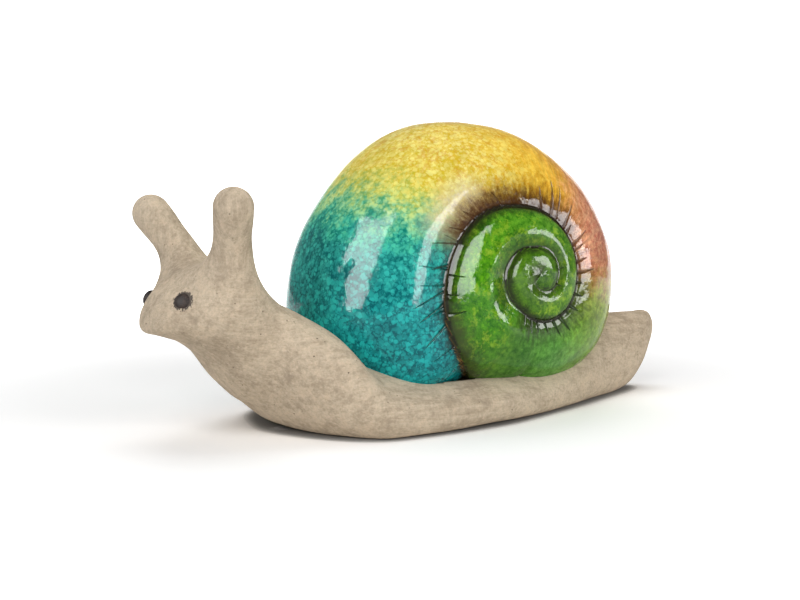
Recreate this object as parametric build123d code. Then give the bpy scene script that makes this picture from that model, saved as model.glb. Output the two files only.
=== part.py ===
from build123d import *
import os
from bisect import bisect_right
from math import cos, hypot, pi, radians, sin

# A ceramic garden snail: a bisque clay body with a glazed coiled shell seated in its back.
# Millimetres. The snail heads towards -X and stands on the plane Z = 0, which is its sole.
# Its left side is -Y. The origin is under the middle of the body, on the sole.

# Body: one hollow clay casting that makes the foot, neck, head and tail.
body_length = 244.0
body_width = 92.0
body_height = 61.7
sole_thickness = 12.0
body_wall = 7.0
neck_bore_radius = 9.0
neck_vent_diameter = 8.0
sole_vent_diameter = 12.0

# Shell: one hollow glazed casting, seated on a level bed in the body's back.
shell_radius = 63.0
shell_width = 88.0
shell_wall = 4.6
suture_depth = 3.8
coil_shoulder = 14.0
shell_flat_depth = 2.75
seat_gap = 0.3
filler_hole_diameter = 24.0
pole_radius = 1.0
pole_drop = 0.6

# Tentacles: two solid clay clubs luted on top of the head.
tentacle_root_radius = 11.5
tentacle_shaft_radius = 5.9
tentacle_tip_radius = 7.1
tentacle_root_depth = 5.0
tentacle_forward = 7.0
tentacle_spread = 12.5
tentacle_rise = 26.5
far_tentacle_extra_forward = 2.8
far_tentacle_extra_spread = 3.2
far_tentacle_drop = 3.6

# Eyes: two oval clay beads pressed into shallow sockets.
eye_length = 7.0
eye_height = 6.2
eye_thickness = 4.4
eye_proud = 1.3

# How far a cutting solid runs past what it cuts.
overrun = 6.0

# Loops of points that the lofts are drawn through.
loop_points = 64
rows_between_stations = 2
shell_rows = 34
seat_rows = 16
cavity_rows = 9

# Body stations from the nose to the tail. Places run from -0.5 to 0.5 of the body length,
# half-widths are shares of half the body width, and heights are shares of the body height.
station_place_shares = [
    -0.5000, -0.4967, -0.4850, -0.4650, -0.4400, -0.4120, -0.3790, -0.3460, -0.3130,
    -0.2810, -0.2440, -0.1860, -0.0880, 0.0180, 0.1250, 0.2310, 0.3130, 0.3790,
    0.4240, 0.4610, 0.4875, 0.4975, 0.5000,
]
station_middle_shares = [
    0.662, 0.678, 0.692, 0.701, 0.707, 0.701, 0.670, 0.615, 0.501,
    0.381, 0.268, 0.146, 0.122, 0.133, 0.121, 0.150, 0.186, 0.228,
    0.271, 0.334, 0.398, 0.425, 0.434,
]
station_half_width_shares = [
    0.020, 0.146, 0.251, 0.342, 0.424, 0.485, 0.517, 0.532, 0.672,
    0.772, 0.887, 0.985, 1.000, 0.957, 0.797, 0.621, 0.456, 0.332,
    0.254, 0.181, 0.100, 0.070, 0.020,
]
station_rise_shares = [
    0.014, 0.075, 0.147, 0.212, 0.276, 0.299, 0.283, 0.280, 0.307,
    0.356, 0.382, 0.296, 0.248, 0.215, 0.242, 0.301, 0.334, 0.311,
    0.269, 0.206, 0.142, 0.074, 0.014,
]
station_drop_shares = [
    0.014, 0.045, 0.072, 0.106, 0.149, 0.225, 0.368, 0.428, 0.409,
    0.358, 0.295, 0.204, 0.165, 0.162, 0.164, 0.194, 0.228, 0.263,
    0.268, 0.226, 0.156, 0.074, 0.014,
]
# Roundness of the sections: 2 is an ellipse and more is squarer.
station_top_roundness = [
    2.00, 2.00, 2.10, 2.20, 2.20, 2.20, 2.10, 2.10, 2.10,
    2.30, 2.31, 1.85, 1.80, 1.80, 1.80, 1.88, 1.99, 2.19,
    2.40, 2.50, 2.40, 2.20, 2.00,
]
station_bottom_roundness = [
    2.00, 2.20, 2.30, 2.40, 2.30, 2.00, 1.90, 1.90, 1.90,
    2.50, 3.02, 3.78, 3.80, 3.80, 3.60, 3.20, 2.80, 2.50,
    2.30, 2.10, 2.00, 2.00, 2.00,
]

# Shell outline round its axis, seen from the left side: 0 degrees is the rear and 90 the top.
shell_place_share = 0.0865
shell_angles = [-90, -60, -30, 0, 30, 60, 90, 120, 150, 180, 200, 215, 230, 245, 270]
shell_radius_shares = [
    0.754, 0.898, 1.035, 0.993, 0.908, 0.870, 0.908, 1.009, 1.093,
    1.243, 1.314, 1.310, 1.000, 0.825, 0.754,
]
shell_width_shares = [
    0.989, 0.968, 0.955, 0.939, 0.936, 0.950, 0.975, 1.005, 1.032,
    1.050, 1.052, 1.045, 1.034, 1.011, 0.989,
]
shell_outline_fullness = [
    4.2, 3.2, 2.6, 2.5, 2.5, 2.5, 2.5, 2.5, 2.5, 2.5, 2.5, 2.8, 3.6, 4.2, 4.2,
]
shell_side_fullness = 2.3

# The suture winds clockwise, as seen from the left, from the shell's mouth to its pole.
suture_start_angle = -128.0
suture_turns = [
    -90, -60, -30, 0, 45, 90, 135, 180, 225, 270, 315, 360, 405, 450, 495, 540, 585, 630,
    675, 720, 760,
]
suture_radius_shares = [
    1.11, 0.96, 0.85, 0.77, 0.675, 0.555, 0.413, 0.362, 0.354, 0.357, 0.311, 0.257, 0.257,
    0.211, 0.154, 0.152, 0.152, 0.140, 0.100, 0.063, 0.032,
]
suture_depth_shares = [
    0.0, 0.0, 0.63, 0.95, 1.0, 0.95, 0.84, 0.79, 0.71, 0.63, 0.61, 0.58, 0.53, 0.47, 0.42,
    0.37, 0.32, 0.26, 0.21, 0.16, 0.0,
]

# Places of the tentacles, the eyes and the vents, as shares of what carries them.
tentacle_place_share = -0.389
tentacle_side_share = 0.66
tentacle_bend_share = 0.42
eye_place_share = -0.466
eye_turn = 37.5
far_eye_turn = 31.0
sole_vent_place_share = 0.06
neck_bore_foot_share = -0.270
neck_bore_head_share = -0.390


def smooth_value(places, values, place):
    """The value at a place on the smooth curve, free of overshoot, through the stations."""
    last = len(places) - 1
    if place <= places[0]:
        return values[0]
    if place >= places[last]:
        return values[last]
    steps = [places[i + 1] - places[i] for i in range(last)]
    grades = [(values[i + 1] - values[i]) / steps[i] for i in range(last)]

    def slope(i):
        if i == 0:
            return grades[0]
        if i == last:
            return grades[-1]
        if grades[i - 1] * grades[i] <= 0:
            return 0
        before = 2 * steps[i] + steps[i - 1]
        after = steps[i] + 2 * steps[i - 1]
        return (before + after) / (before / grades[i - 1] + after / grades[i])

    k = bisect_right(places, place) - 1
    t = (place - places[k]) / steps[k]
    near = (2 * t**3 - 3 * t**2 + 1) * values[k] + (t**3 - 2 * t**2 + t) * steps[k] * slope(k)
    far = (3 * t**2 - 2 * t**3) * values[k + 1] + (t**3 - t**2) * steps[k] * slope(k + 1)
    return near + far


def closed_loop(points):
    """A closed smooth wire through the points, with evenly spaced knots."""
    knots = [i / len(points) for i in range(len(points) + 1)]
    return Wire([Edge.make_spline(points, periodic=True, parameters=knots)])


def body_station(place_share):
    """Middle height, half-width, rise, drop and roundness of the body at a place."""
    tables = (
        station_middle_shares,
        station_half_width_shares,
        station_rise_shares,
        station_drop_shares,
        station_top_roundness,
        station_bottom_roundness,
    )
    middle, half, rise, drop, top, bottom = [
        smooth_value(station_place_shares, table, place_share) for table in tables
    ]
    return (
        middle * body_height,
        half * body_width / 2,
        rise * body_height,
        drop * body_height,
        top,
        bottom,
    )


def body_point(place_share, angle, inset=0):
    """The point of a body section at an angle from its left-to-right line, in degrees."""
    middle, half, rise, drop, top, bottom = body_station(place_share)
    c = cos(radians(angle))
    s = sin(radians(angle))
    height, power = (rise, top) if s >= 0 else (drop, bottom)
    reach = (abs(c) ** power + abs(s) ** power) ** (1 / power)
    across = (half - inset) * c / reach
    up = middle + (height - inset) * s / reach
    return Vector(place_share * body_length, across, up)


def body_loop(place_share, inset=0):
    angles = [360 * i / loop_points for i in range(loop_points)]
    return closed_loop([body_point(place_share, angle, inset) for angle in angles])


def make_body_form():
    """The body's outer form, before the shell's seat and the hollows are cut."""
    places = []
    for near, far in zip(station_place_shares, station_place_shares[1:]):
        places += [near + (far - near) * k / rows_between_stations for k in range(rows_between_stations)]
    places.append(station_place_shares[-1])
    form = Solid.make_loft([body_loop(place) for place in places])
    under = Box(
        body_length + 2 * overrun,
        body_width + 2 * overrun,
        body_height,
        align=(Align.CENTER, Align.CENTER, Align.MAX),
    )
    return form - under


shell_x = shell_place_share * body_length
shell_z = sole_thickness + shell_radius * shell_radius_shares[0] - shell_flat_depth


def suture_value(values, turn):
    return smooth_value(suture_turns, values, turn)


def shell_relief(radius, angle):
    """How deep the shell dips at a point of its side, in the valley between two coils."""
    dip = 0
    first = (suture_start_angle - angle) % 360
    for turns in range(-1, 3):
        turn = first + 360 * turns
        if turn < suture_turns[0] or turn > suture_turns[-1]:
            continue
        suture = shell_radius * suture_value(suture_radius_shares, turn)
        shoulder = coil_shoulder
        if radius < suture and turn + 360 <= suture_turns[-1]:
            inner = shell_radius * suture_value(suture_radius_shares, turn + 360)
            shoulder = min(shoulder, (suture - inner) / 2)
        elif radius < suture:
            shoulder = min(shoulder, suture)
        elif turn - 360 >= suture_turns[0]:
            outer = shell_radius * suture_value(suture_radius_shares, turn - 360)
            shoulder = min(shoulder, (outer - suture) / 2)
        nearness = max(0, 1 - abs(radius - suture) / shoulder)
        depth = suture_depth * suture_value(suture_depth_shares, turn)
        dip += depth * nearness**2 * (3 - 2 * nearness)
    return dip


def shell_point(share, angle, side, inset, relief):
    """A point of the shell, at a share of the way from its pole to its rim."""
    radius = shell_radius * smooth_value(shell_angles, shell_radius_shares, angle) - inset
    widening = smooth_value(shell_angles, shell_width_shares, angle) - 1
    half = shell_width / 2 * (1 + widening * share) - inset
    fullness = smooth_value(shell_angles, shell_outline_fullness, angle)
    out = radius * share
    across = half * (1 - share**fullness) ** (1 / shell_side_fullness)
    if relief:
        dip = shell_relief(out, angle)
        lean_out = out / radius**2
        lean_across = across / half**2
        lean = hypot(lean_out, lean_across)
        out -= dip * lean_out / lean
        across -= dip * lean_across / lean
    return Vector(
        shell_x + out * cos(radians(angle)),
        side * across,
        shell_z + out * sin(radians(angle)),
    )


def shell_loop(share, side, inset, relief):
    angles = [-90 + 360 * i / loop_points for i in range(loop_points)]
    return closed_loop([shell_point(share, angle, side, inset, relief) for angle in angles])


def pole_loop(side, inset):
    """The small level ring that closes the shell at its pole."""
    across = side * (shell_width / 2 - pole_drop - inset)
    points = []
    for i in range(loop_points):
        angle = radians(-90 + 360 * i / loop_points)
        points.append(Vector(shell_x + pole_radius * cos(angle), across, shell_z + pole_radius * sin(angle)))
    return closed_loop(points)


def row_shares(rows):
    """Shares of the way from pole to rim that are evenly spaced along the shell's side."""
    steps = 60 * rows
    walk = [0]
    shares = [0]
    last_out = 0
    last_across = shell_width / 2
    for i in range(1, steps + 1):
        angle = pi / 2 * i / steps
        fullness = shell_outline_fullness[3]
        reach = (sin(angle) ** fullness + cos(angle) ** fullness) ** (1 / fullness)
        share = min(1, sin(angle) / reach)
        out = shell_radius * share
        across = shell_width / 2 * (1 - share**fullness) ** (1 / shell_side_fullness)
        walk.append(walk[-1] + hypot(out - last_out, across - last_across))
        shares.append(share)
        last_out = out
        last_across = across
    return [smooth_value(walk, shares, walk[-1] * k / rows) for k in range(1, rows)]


def make_shell_form(rows, inset, relief):
    """A closed shell form, lofted from the left pole over the rim to the right pole."""
    shares = row_shares(rows)
    loops = [pole_loop(-1, inset)]
    loops += [shell_loop(share, -1, inset, relief) for share in shares]
    loops.append(shell_loop(1, 1, inset, relief))
    loops += [shell_loop(share, 1, inset, relief) for share in reversed(shares)]
    loops.append(pole_loop(1, inset))
    return Solid.make_loft(loops, relief)


def below(height):
    """All that lies under a height, wide enough for the shell."""
    block = Box(
        2 * shell_radius * max(shell_radius_shares) + 2 * overrun,
        shell_width + 4 * overrun,
        shell_radius,
        align=(Align.CENTER, Align.CENTER, Align.MAX),
    )
    return Pos(shell_x, 0, height) * block


def make_shell():
    """The coiled casting: level underneath, hollow, with a filler hole in its underside."""
    outer = make_shell_form(shell_rows, 0, True) - below(sole_thickness)
    hollow = make_shell_form(cavity_rows, shell_wall + suture_depth, False)
    hollow -= below(sole_thickness + shell_wall)
    hole = Cylinder(filler_hole_diameter / 2, 2 * (shell_wall + overrun))
    return outer - hollow - Pos(sole_vent_place_share * body_length, 0, sole_thickness) * hole


def make_seat():
    """The room that the shell takes in the body: its smooth form and a gap for slip."""
    return make_shell_form(seat_rows, -seat_gap, False) - below(sole_thickness)


def make_neck_hollow():
    """A round-ended bore from above the sole up the neck, and its vent down through the sole."""
    middle, _, rise, drop, _, _ = body_station(neck_bore_head_share)
    foot = Vector(neck_bore_foot_share * body_length, 0, body_wall + neck_bore_radius)
    head = Vector(neck_bore_head_share * body_length, 0, middle + (rise - drop) / 2)
    run = head - foot
    bore = Plane(origin=foot, z_dir=run) * Cylinder(
        neck_bore_radius,
        run.length,
        align=(Align.CENTER, Align.CENTER, Align.MIN),
    )
    for end in (foot, head):
        bore += Pos(end) * Sphere(neck_bore_radius)
    vent = Cylinder(neck_vent_diameter / 2, 2 * foot.Z)
    return bore + Pos(foot.X, 0, 0) * vent


def make_body(form, eyes):
    """The body with its shell seat, hollow, vents and eye sockets."""
    body = form - make_seat() - make_neck_hollow()
    sole_vent = Cylinder(sole_vent_diameter / 2, 2 * (sole_thickness + overrun))
    body -= Pos(sole_vent_place_share * body_length, 0, 0) * sole_vent
    for eye in eyes:
        body -= eye
    return body


def make_tentacle(side, extra_forward, extra_spread, drop):
    """A club on a bent axis that flares into the head's surface."""
    middle, half, rise, _, top, _ = body_station(tentacle_place_share)
    root_y = side * half * tentacle_side_share
    root_top = middle + rise * (1 - tentacle_side_share**top) ** (1 / top)
    root = Vector(tentacle_place_share * body_length, root_y, root_top - tentacle_root_depth)
    forward = tentacle_forward + extra_forward
    spread = tentacle_spread + extra_spread
    rise = tentacle_rise - drop + tentacle_root_depth
    tip = root + Vector(-forward, side * spread, rise)
    bend = root + Vector(
        -forward * tentacle_bend_share / 2,
        side * spread * tentacle_bend_share / 2,
        rise * (1 + tentacle_bend_share) / 2 - rise * tentacle_bend_share / 2,
    )
    length_shares = [0, 0.16, 0.34, 0.55, 0.75, 0.90, 1]
    root_flare_shares = [1, 0.60, 0.20, 0, 0, 0, 0]
    tip_swell_shares = [0, 0, 0, 0.10, 0.62, 0.95, 1]
    loops = []
    for t, flare, swell in zip(length_shares, root_flare_shares, tip_swell_shares):
        centre = root * (1 - t) ** 2 + bend * (2 * t * (1 - t)) + tip * t**2
        along = (bend - root) * (1 - t) + (tip - bend) * t
        radius = tentacle_shaft_radius
        radius += flare * (tentacle_root_radius - tentacle_shaft_radius)
        radius += swell * (tentacle_tip_radius - tentacle_shaft_radius)
        plane = Plane(origin=centre, x_dir=Vector(0, 1, 0).cross(along), z_dir=along)
        loops.append(Wire.make_circle(radius, plane))
    club = Solid.make_loft(loops)
    return club + Pos(tip) * Sphere(tentacle_tip_radius)


def make_eye(side, rise_turn):
    """An oval bead that stands a little proud of the head, square to its surface."""
    turn = 90 - side * (90 - rise_turn)
    seat = body_point(eye_place_share, turn)
    step = 1 / body_length
    along = body_point(eye_place_share + step, turn) - body_point(eye_place_share - step, turn)
    around = body_point(eye_place_share, turn + 1) - body_point(eye_place_share, turn - 1)
    outward = along.cross(around).normalized()
    centre = Vector(seat.X, seat.Y, seat.Z)
    if outward.dot(Vector(-1, side, 0)) < 0:
        outward = outward * -1
    centre += outward * (eye_proud - eye_thickness / 2)
    plane = Plane(origin=centre, x_dir=Vector(0, 0, 1).cross(outward), z_dir=outward)
    bead = scale(Sphere(1), by=(eye_length / 2, eye_height / 2, eye_thickness / 2))
    return plane.location * bead


def main():
    form = make_body_form()
    left_eye = make_eye(-1, eye_turn)
    right_eye = make_eye(1, far_eye_turn)
    body = make_body(form, [left_eye, right_eye])
    left_tentacle = make_tentacle(-1, 0, 0, 0) - form
    right_tentacle = make_tentacle(
        1, far_tentacle_extra_forward, far_tentacle_extra_spread, far_tentacle_drop
    ) - form
    nodes = {
        "body": body,
        "shell": make_shell(),
        "left_tentacle": left_tentacle,
        "right_tentacle": right_tentacle,
        "left_eye": left_eye,
        "right_eye": right_eye,
    }
    os.makedirs("parts", exist_ok=True)
    for name, solid in nodes.items():
        export_step(solid, f"parts/{name}.step")


main()
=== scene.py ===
from math import cos, pi, radians, sin

import bpy
import numpy as np
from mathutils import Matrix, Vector


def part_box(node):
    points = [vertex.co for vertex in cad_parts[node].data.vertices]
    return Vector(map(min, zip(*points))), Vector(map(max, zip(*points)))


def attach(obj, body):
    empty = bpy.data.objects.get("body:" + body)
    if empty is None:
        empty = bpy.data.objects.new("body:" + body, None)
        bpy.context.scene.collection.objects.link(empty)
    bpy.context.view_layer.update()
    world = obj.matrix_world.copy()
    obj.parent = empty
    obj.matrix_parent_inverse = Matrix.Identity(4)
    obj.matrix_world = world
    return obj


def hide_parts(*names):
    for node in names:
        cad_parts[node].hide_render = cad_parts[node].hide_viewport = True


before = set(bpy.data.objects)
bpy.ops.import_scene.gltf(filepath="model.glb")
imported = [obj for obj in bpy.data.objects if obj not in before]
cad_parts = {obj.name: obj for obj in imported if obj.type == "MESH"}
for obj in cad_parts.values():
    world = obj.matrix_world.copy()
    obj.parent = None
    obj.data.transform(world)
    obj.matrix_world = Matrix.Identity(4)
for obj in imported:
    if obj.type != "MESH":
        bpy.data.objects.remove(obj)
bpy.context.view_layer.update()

# A ceramic garden snail. Shapes are worked out in millimetres and made in metres.
# The snail heads towards -X and its left side is -Y. The sole is the plane Z = 0.
MM = 0.001

body_low, body_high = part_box("body")
body_length = (body_high.x - body_low.x) / MM
body_width = 92.0
body_height = 61.7
shell_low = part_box("shell")[0]
sole_thickness = shell_low.z / MM

# Body stations from the nose to the tail, as shares of the body's length, half-width and height.
station_place_shares = [
    -0.5000, -0.4967, -0.4850, -0.4650, -0.4400, -0.4120, -0.3790, -0.3460, -0.3130,
    -0.2810, -0.2440, -0.1860, -0.0880, 0.0180, 0.1250, 0.2310, 0.3130, 0.3790,
    0.4240, 0.4610, 0.4875, 0.4975, 0.5000,
]
station_middle_shares = [
    0.662, 0.678, 0.692, 0.701, 0.707, 0.701, 0.670, 0.615, 0.501,
    0.381, 0.268, 0.146, 0.122, 0.133, 0.121, 0.150, 0.186, 0.228,
    0.271, 0.334, 0.398, 0.425, 0.434,
]
station_half_width_shares = [
    0.020, 0.146, 0.251, 0.342, 0.424, 0.485, 0.517, 0.532, 0.672,
    0.772, 0.887, 0.985, 1.000, 0.957, 0.797, 0.621, 0.456, 0.332,
    0.254, 0.181, 0.100, 0.070, 0.020,
]
station_rise_shares = [
    0.014, 0.075, 0.147, 0.212, 0.276, 0.299, 0.283, 0.280, 0.307,
    0.356, 0.382, 0.296, 0.248, 0.215, 0.242, 0.301, 0.334, 0.311,
    0.269, 0.206, 0.142, 0.074, 0.014,
]
station_drop_shares = [
    0.014, 0.045, 0.072, 0.106, 0.149, 0.225, 0.368, 0.428, 0.409,
    0.358, 0.295, 0.204, 0.165, 0.162, 0.164, 0.194, 0.228, 0.263,
    0.268, 0.226, 0.156, 0.074, 0.014,
]
# Roundness of the sections: 2 is an ellipse and more is squarer.
station_top_roundness = [
    2.00, 2.00, 2.10, 2.20, 2.20, 2.20, 2.10, 2.10, 2.10,
    2.30, 2.31, 1.85, 1.80, 1.80, 1.80, 1.88, 1.99, 2.19,
    2.40, 2.50, 2.40, 2.20, 2.00,
]
station_bottom_roundness = [
    2.00, 2.20, 2.30, 2.40, 2.30, 2.00, 1.90, 1.90, 1.90,
    2.50, 3.02, 3.78, 3.80, 3.80, 3.60, 3.20, 2.80, 2.50,
    2.30, 2.10, 2.00, 2.00, 2.00,
]
body_rows = 400
body_columns = 240
edge_softness = 0.7
wobble_height = 0.35

# Shell outline round its axis, seen from the left: 0 degrees is the rear and 90 the top.
shell_radius = 63.0
shell_width = 88.0
shell_flat_depth = 2.75
shell_place_share = 0.0865
shell_angles = [-90, -60, -30, 0, 30, 60, 90, 120, 150, 180, 200, 215, 230, 245, 270]
shell_radius_shares = [
    0.754, 0.898, 1.035, 0.993, 0.908, 0.870, 0.908, 1.009, 1.093,
    1.243, 1.314, 1.310, 1.000, 0.825, 0.754,
]
shell_width_shares = [
    0.989, 0.968, 0.955, 0.939, 0.936, 0.950, 0.975, 1.005, 1.032,
    1.050, 1.052, 1.045, 1.034, 1.011, 0.989,
]
shell_outline_fullness = [
    4.2, 3.2, 2.6, 2.5, 2.5, 2.5, 2.5, 2.5, 2.5, 2.5, 2.5, 2.8, 3.6, 4.2, 4.2,
]
shell_side_fullness = 2.3
shell_x = shell_place_share * body_length
shell_z = sole_thickness + shell_radius * shell_radius_shares[0] - shell_flat_depth
shell_rows_a_side = 107
shell_columns = 450
seat_gap = 0.3
seat_lap = 1.2
seat_halvings = 30

# The suture winds clockwise, as seen from the left, from the shell's mouth to its pole.
suture_start_angle = -128.0
suture_turns = [
    -90, -60, -30, 0, 45, 90, 135, 180, 225, 270, 315, 360, 405, 450, 495, 540, 585, 630,
    675, 720, 760,
]
suture_radius_shares = [
    1.11, 0.96, 0.85, 0.77, 0.675, 0.555, 0.413, 0.362, 0.354, 0.357, 0.311, 0.257, 0.257,
    0.211, 0.154, 0.152, 0.152, 0.140, 0.100, 0.063, 0.032,
]
suture_depth_shares = [
    0.0, 0.0, 0.63, 0.95, 1.0, 0.95, 0.86, 0.82, 0.79, 0.77, 0.76, 0.75, 0.72, 0.62, 0.48,
    0.38, 0.33, 0.29, 0.23, 0.14, 0.0,
]
suture_depth = 3.8
slope_width = 12.0
lip_width = 2.4
lip_share = 0.28
edge_width = 2.4
edge_share = 0.70
slope_share = 0.35
crown_share = 0.42
edge_gap_share = 0.42
relief_softness = 0.5
seam_narrowing = 0.16
seam_narrow_gap = 14.0
narrow_coil = 22.0
far_away = 99.0
shell_wobble = 0.8
shell_wobble_scale = 0.9

# Tentacles: clubs on a bent axis, blended into the head as wet clay is smoothed over.
tentacle_place_share = -0.393
tentacle_side_share = 0.62
tentacle_bend_share = 0.42
tentacle_root_depth = 5.0
tentacle_root_radius = 8.6
tentacle_shaft_radius = 5.9
tentacle_tip_radius = 7.1
tentacle_forward = 6.0
tentacle_spread = 13.4
tentacle_rise = 26.5
far_tentacle_extra_forward = 2.8
far_tentacle_extra_spread = 3.2
far_tentacle_drop = 3.6
club_spheres = 60
club_length_shares = [0, 0.16, 0.34, 0.55, 0.75, 0.90, 1]
club_flare_shares = [1.15, 1.0, 0.78, 0.40, 0.04, 0, 0]
club_swell_shares = [0, 0, 0, 0.10, 0.62, 0.95, 1]
blend_reach = 14.0
skirt_start = 0.42
skirt_spread = 15.5
seam_distance = 3.0
seam_sink = 0.045
head_reach = 45.0
drawn_inside = 3.5
drawn_softness = 3.5
base_depth = 2.0
tentacle_wobble = 0.6
tentacle_wobble_scale = 2.1
tentacle_sides = 96
cap_rows = 13
shaft_rows = 46
skirt_rows = 33
closing_rows = 6
skirt_power = 1.3
surface_nudge = 0.05
least_steepness = 0.3
longest_step = 3.0

# Eyes: oval beads, and how they sit.
eye_length = 7.0
eye_height = 6.2
eye_thickness = 4.4
eye_edge_wave = 0.025
eye_front_power = 0.9
eye_sides = 72
eye_rows = 40
eye_proud = 1.3
eye_place_share = -0.466
eye_turn = 37.5
far_eye_turn = 31.0
far_eye_extra_proud = 0.9

# Firing vents in the sole, and the filler hole in the shell above the larger one.
sole_vent_place_share = 0.06
sole_vent_diameter = 12.0
neck_vent_place_share = -0.270
neck_vent_diameter = 8.0
neck_vent_depth = 24.0
filler_hole_diameter = 24.0
filler_hole_depth = 26.0
hole_sides = 64


def smooth_curve(stations, values, at):
    """Heights at the places asked for on the cubic through the stations that never overshoots."""
    stations = np.asarray(stations, float)
    values = np.asarray(values, float)
    step = np.diff(stations)
    grade = np.diff(values) / step
    slope = np.concatenate([grade[:1], np.zeros(len(step) - 1), grade[-1:]])
    before = 2 * step[1:] + step[:-1]
    after = step[1:] + 2 * step[:-1]
    same_way = grade[:-1] * grade[1:] > 0
    first = np.where(same_way, grade[:-1], 1)
    second = np.where(same_way, grade[1:], 1)
    slope[1:-1] = np.where(same_way, (before + after) / (before / first + after / second), 0)
    at = np.clip(at, stations[0], stations[-1])
    k = np.clip(np.searchsorted(stations, at, side="right") - 1, 0, len(step) - 1)
    t = (at - stations[k]) / step[k]
    near = (2 * t**3 - 3 * t**2 + 1) * values[k] + (t**3 - 2 * t**2 + t) * step[k] * slope[k]
    far = (3 * t**2 - 2 * t**3) * values[k + 1] + (t**3 - t**2) * step[k] * slope[k + 1]
    return near + far


def power_length(first, second, power):
    """Length of two parts by the power of a superellipse, which is the plain length at 2."""
    return (np.abs(first) ** power + np.abs(second) ** power) ** (1 / power)


def unit(vectors):
    """The same directions at a length of one."""
    return vectors / np.linalg.norm(vectors, axis=-1, keepdims=True)


def hand_wobble(points):
    """Slow unevenness of hand-modelled clay, always inwards: a sum of sine waves in three directions."""
    x, y, z = points[..., 0], points[..., 1], points[..., 2]
    waves = np.sin(x / 7.3 + 1.1 * np.sin(z / 9.7)) * np.sin(y / 8.9 + 0.4)
    waves += 0.8 * np.sin(z / 6.1 + y / 11.3 + 2.0) * np.sin(x / 12.7 + 0.9)
    waves += 0.5 * np.sin(x / 3.9 + z / 5.3) * np.sin(y / 4.7 - x / 9.1)
    return wobble_height * (waves / 2.3 - 1) / 2


def body_station(place):
    """Middle height, half-width, rise, drop and the two roundnesses of the body at places in mm."""
    share = place / body_length
    middle, half, rise, drop, top, bottom = [
        smooth_curve(station_place_shares, table, share)
        for table in (
            station_middle_shares,
            station_half_width_shares,
            station_rise_shares,
            station_drop_shares,
            station_top_roundness,
            station_bottom_roundness,
        )
    ]
    height = body_height
    return middle * height, half * body_width / 2, rise * height, drop * height, top, bottom


def body_depth(points):
    """How far points stand out of the body, along the line from the middle of their section."""
    middle, half, rise, drop, top, bottom = body_station(points[..., 0])
    across = points[..., 1]
    up = points[..., 2] - middle
    height = np.where(up >= 0, rise, drop)
    power = np.where(up >= 0, top, bottom)
    reach = power_length(across / half, up / height, power)
    return np.hypot(across, up) * (1 - 1 / np.maximum(reach, 0.01)) - hand_wobble(points)


def body_form():
    """Rows of superelliptic sections, drawn in by the wobble; make_body flattens them at the sole."""
    place = body_length / 2 * np.sin(pi / 2 * np.linspace(-1, 1, body_rows))[:, None]
    angle = 2 * pi * np.arange(body_columns)[None, :] / body_columns
    middle, half, rise, drop, top, bottom = body_station(place)
    c = np.cos(angle)
    s = np.sin(angle)
    height = np.where(s >= 0, rise, drop)
    power = np.where(s >= 0, top, bottom)
    reach = power_length(c, s, power)
    across = half * c / reach
    up = height * s / reach
    points = np.stack([place + 0 * across, across, middle + up], axis=-1)
    share = hand_wobble(points) / np.maximum(np.hypot(across, up), 1)
    points[..., 1] += across * share
    points[..., 2] += up * share
    return points


def shell_outline(angle):
    """Radius, widening and fullness of the shell at angles in degrees."""
    at = (angle + 90) % 360 - 90
    radius = shell_radius * smooth_curve(shell_angles, shell_radius_shares, at)
    widening = smooth_curve(shell_angles, shell_width_shares, at) - 1
    fullness = smooth_curve(shell_angles, shell_outline_fullness, at)
    return radius, widening, fullness


def shell_half_width(share, widening, fullness):
    """Half the shell's width at a share of the way from its pole to its rim."""
    left = np.maximum(1 - np.minimum(share, 1) ** fullness, 0)
    return shell_width / 2 * (1 + widening * share) * left ** (1 / shell_side_fullness)


def pressed_into_seat(points):
    """Clay inside the shell is pressed out to its underside, along lines from the shell's middle."""
    centre = np.array([shell_x, 0, shell_z])
    away = points - centre
    radius, widening, fullness = shell_outline(np.degrees(np.arctan2(away[..., 2], away[..., 0])))
    share = np.hypot(away[..., 0], away[..., 2]) / radius
    side = np.abs(away[..., 1])
    low = np.zeros(share.shape)
    high = 1 / np.maximum(share, 0.01)
    for _ in range(seat_halvings):
        stretch = (low + high) / 2
        inside = stretch * side < shell_half_width(stretch * share, widening, fullness)
        low = np.where(inside, stretch, low)
        high = np.where(inside, high, stretch)
    distance = np.linalg.norm(away, axis=-1)
    depth = (low - 1) * distance
    floor = (shell_z - sole_thickness + seat_gap) / np.maximum(-away[..., 2], 0.01)
    stretch = np.minimum(low + seat_gap / distance, floor)
    pressed = centre + away * stretch[..., None]
    return np.where((depth > seat_lap)[..., None], pressed, points)


def tentacle_axis(side, extra_forward, extra_spread, extra_drop):
    """The three points of a tentacle's bent axis: root, bend and tip."""
    middle, half, rise, _, top, _ = body_station(np.array(tentacle_place_share * body_length))
    root_top = middle + rise * (1 - tentacle_side_share**top) ** (1 / top)
    root = np.array([
        tentacle_place_share * body_length,
        side * half * tentacle_side_share,
        root_top - tentacle_root_depth,
    ])
    forward = tentacle_forward + extra_forward
    spread = tentacle_spread + extra_spread
    height = tentacle_rise - extra_drop + tentacle_root_depth
    tip = root + np.array([-forward, side * spread, height])
    bend_share = tentacle_bend_share / 2
    bend = root + np.array([-forward * bend_share, side * spread * bend_share, height / 2])
    return root, bend, tip


def club_radius(t):
    """Radius of a club along its axis: flared at the root and swollen at the tip."""
    flare = np.maximum(smooth_curve(club_length_shares, club_flare_shares, t), 0)
    swell = smooth_curve(club_length_shares, club_swell_shares, t)
    radius = tentacle_shaft_radius + swell * (tentacle_tip_radius - tentacle_shaft_radius)
    return radius + flare * (tentacle_root_radius - tentacle_shaft_radius)


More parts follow.
